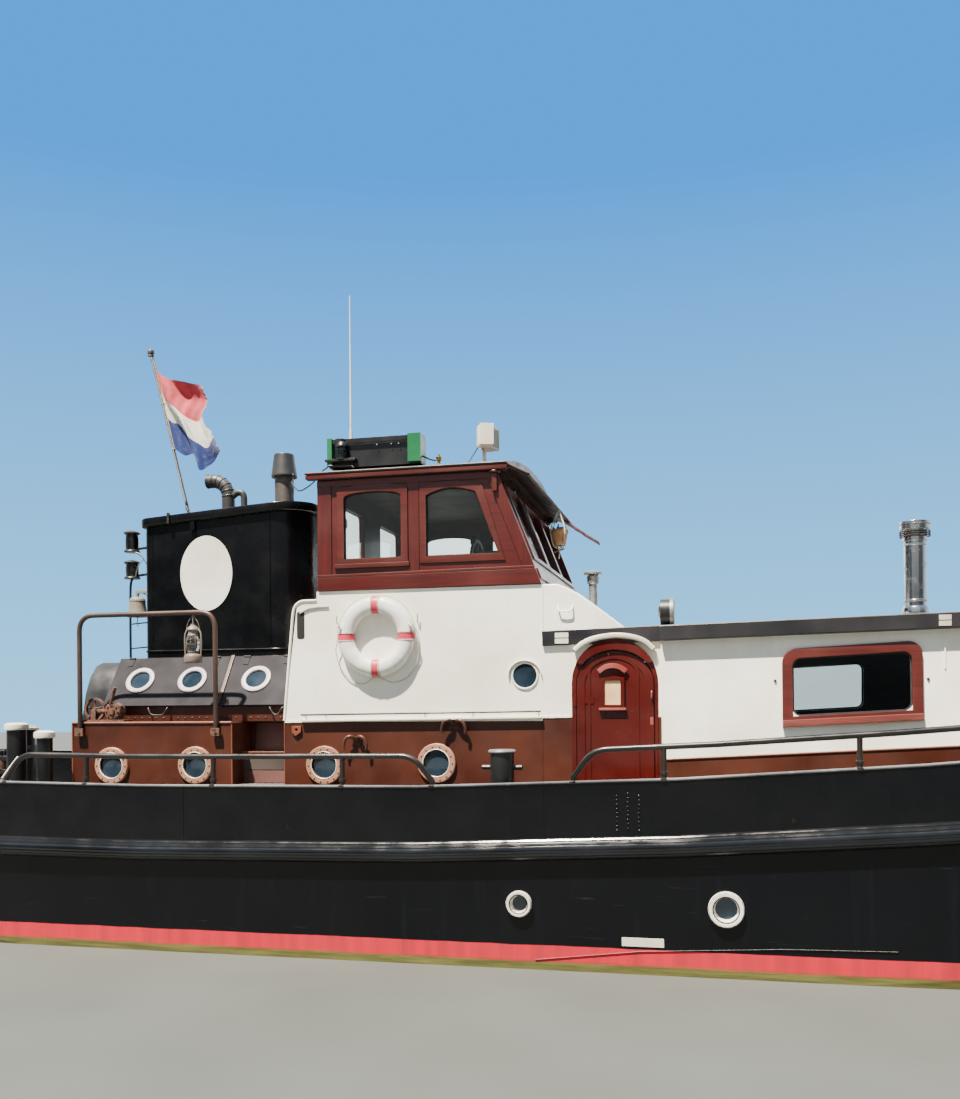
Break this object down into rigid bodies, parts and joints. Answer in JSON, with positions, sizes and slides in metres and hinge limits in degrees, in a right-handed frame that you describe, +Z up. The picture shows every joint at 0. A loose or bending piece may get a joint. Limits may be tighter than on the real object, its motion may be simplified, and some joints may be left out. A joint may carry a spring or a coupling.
{
  "type": "tugboat",
  "caption": "Steel river tug afloat: decked hull with bulwark, casing, funnel, wheelhouse, salon, folding mast, rudder and propeller.",
  "frame": {"origin": "on the centreline amidships at the waterline, where the water holds the boat up", "axes": "+X forward to the bow, +Y to port, +Z up"},
  "size_m": [20.1282, 4.8706, 11.0047],
  "materials": {
    "hull_black": "gloss black alkyd over plating, red boot top and antifouling below",
    "bulwark_black": "gloss black alkyd",
    "bronze": "cast bronze, dull",
    "casing_brown": "satin brown alkyd, patchy",
    "lid_grey": "satin grey-violet alkyd, weathered",
    "funnel_black": "satin black alkyd",
    "flag_cloth": "faded polyester flag cloth in three bands",
    "staff": "dark painted tube",
    "rail_brown": "brown alkyd, worn",
    "rust": "rusted iron",
    "house_white": "gloss cream white alkyd",
    "door_red": "oxblood lacquered wood",
    "mahogany": "varnished and stained mahogany",
    "steel": "stainless tube",
    "white_gear": "white painted metal",
    "green_gear": "green screen with black back",
    "red_gear": "red screen with black back",
    "black_gear": "black painted deck gear",
    "ring_white": "white life ring with four red bands",
    "rope": "laid cordage, off-white",
    "roof_black": "black roof edge, grey deck paint above"
  },
  "bodies": {
    "root": {"hull": "hull_black", "bulwark": "bulwark_black", "rub_rail": "bulwark_black", "engine_casing": "casing_brown", "skylight_coaming": "casing_brown", "funnel": "funnel_black", "funnel_lamps": "black_gear", "ship_bell": "bronze", "flagstaff": "staff", "flag": "flag_cloth", "hoop_rail_starboard": "rail_brown", "hoop_rail_port": "rail_brown", "lantern": "rust", "hand_winch": "rust", "companion_hood": "black_gear", "lower_house": "house_white", "lobby_wall_starboard": "house_white", "lobby_wall_port": "house_white", "front_trunk": "house_white", "salon_plinth": "casing_brown", "salon_side_starboard": "house_white", "salon_side_port": "house_white", "salon_front": "house_white", "salon_roof": "roof_black", "wheelhouse_side_starboard": "mahogany", "wheelhouse_side_port": "mahogany", "wheelhouse_front": "mahogany", "wheelhouse_aft": "mahogany", "wheelhouse_roof": "mahogany", "helm_console": "mahogany", "sidelight_starboard": "green_gear", "sidelight_port": "red_gear", "antenna": "white_gear", "floodlights": "white_gear", "flue": "steel", "vent": "steel", "searchlight": "black_gear", "life_ring": "ring_white", "grab_line": "rope", "aft_rail_starboard": "black_gear", "aft_rail_port": "black_gear", "fore_rail_starboard": "black_gear", "fore_rail_port": "black_gear", "side_bollard_starboard": "black_gear", "side_bollard_port": "black_gear", "tow_post": "black_gear", "tabernacle": "black_gear", "windlass": "black_gear", "fore_bitts": "black_gear"},
    "rudder": {"rudder": "hull_black"},
    "propeller": {"propeller": "bronze"},
    "ships_wheel": {"ships_wheel": "mahogany"},
    "door_starboard": {"door_starboard": "door_red"},
    "door_port": {"door_port": "door_red"},
    "lid_starboard_aft": {"skylight_lid_starboard_aft": "lid_grey"},
    "lid_starboard_fore": {"skylight_lid_starboard_fore": "lid_grey"},
    "lid_port_aft": {"skylight_lid_port_aft": "lid_grey"},
    "lid_port_fore": {"skylight_lid_port_fore": "lid_grey"},
    "mast": {"mast": "mahogany"},
    "tow_hook": {"tow_hook": "rust"}
  },
  "joints": [
    {"name": "rudder_turn", "type": "hinge", "parent": "root", "child": "rudder", "pos_m": [-8.72, 0, -0.9], "axis": [0, 0, 1], "range_deg": [-35, 35]},
    {"name": "propeller_spin", "type": "hinge", "parent": "root", "child": "propeller", "pos_m": [-8.1003, 0, -0.97], "axis": [1, 0, 0], "continuous": true},
    {"name": "wheel_turn", "type": "hinge", "parent": "root", "child": "ships_wheel", "pos_m": [-0.44, -0.3, 3.46], "axis": [1, 0, 0], "range_deg": [-540, 540]},
    {"name": "door_starboard_hinge", "type": "hinge", "parent": "root", "child": "door_starboard", "pos_m": [0.695, -1.4423, 1.78], "axis": [0, 0, -1], "range_deg": [0, 100]},
    {"name": "door_port_hinge", "type": "hinge", "parent": "root", "child": "door_port", "pos_m": [0.695, 1.4423, 1.78], "axis": [0, 0, 1], "range_deg": [0, 100]},
    {"name": "lid_starboard_aft_hinge", "type": "hinge", "parent": "root", "child": "lid_starboard_aft", "pos_m": [-3.49, -0.85864, 2.62011], "axis": [-1, 0, 0], "range_deg": [0, 35]},
    {"name": "lid_starboard_fore_hinge", "type": "hinge", "parent": "root", "child": "lid_starboard_fore", "pos_m": [-2.47, -0.85864, 2.62011], "axis": [-1, 0, 0], "range_deg": [0, 35]},
    {"name": "lid_port_aft_hinge", "type": "hinge", "parent": "root", "child": "lid_port_aft", "pos_m": [-3.49, 0.85864, 2.62011], "axis": [1, 0, 0], "range_deg": [0, 35]},
    {"name": "lid_port_fore_hinge", "type": "hinge", "parent": "root", "child": "lid_port_fore", "pos_m": [-2.47, 0.85864, 2.62011], "axis": [1, 0, 0], "range_deg": [0, 35]},
    {"name": "mast_fold", "type": "hinge", "parent": "root", "child": "mast", "pos_m": [7.05, 0, 2.85954], "axis": [0, 1, 0], "range_deg": [0, 85]},
    {"name": "tow_hook_swing", "type": "hinge", "parent": "root", "child": "tow_hook", "pos_m": [-6.2, 0, 1.46], "axis": [0, 0, 1], "range_deg": [-70, 70]}
  ],
  "couplings": [
    {"joint": "wheel_turn", "follows": "rudder_turn", "ratio": 15.4}
  ]
}
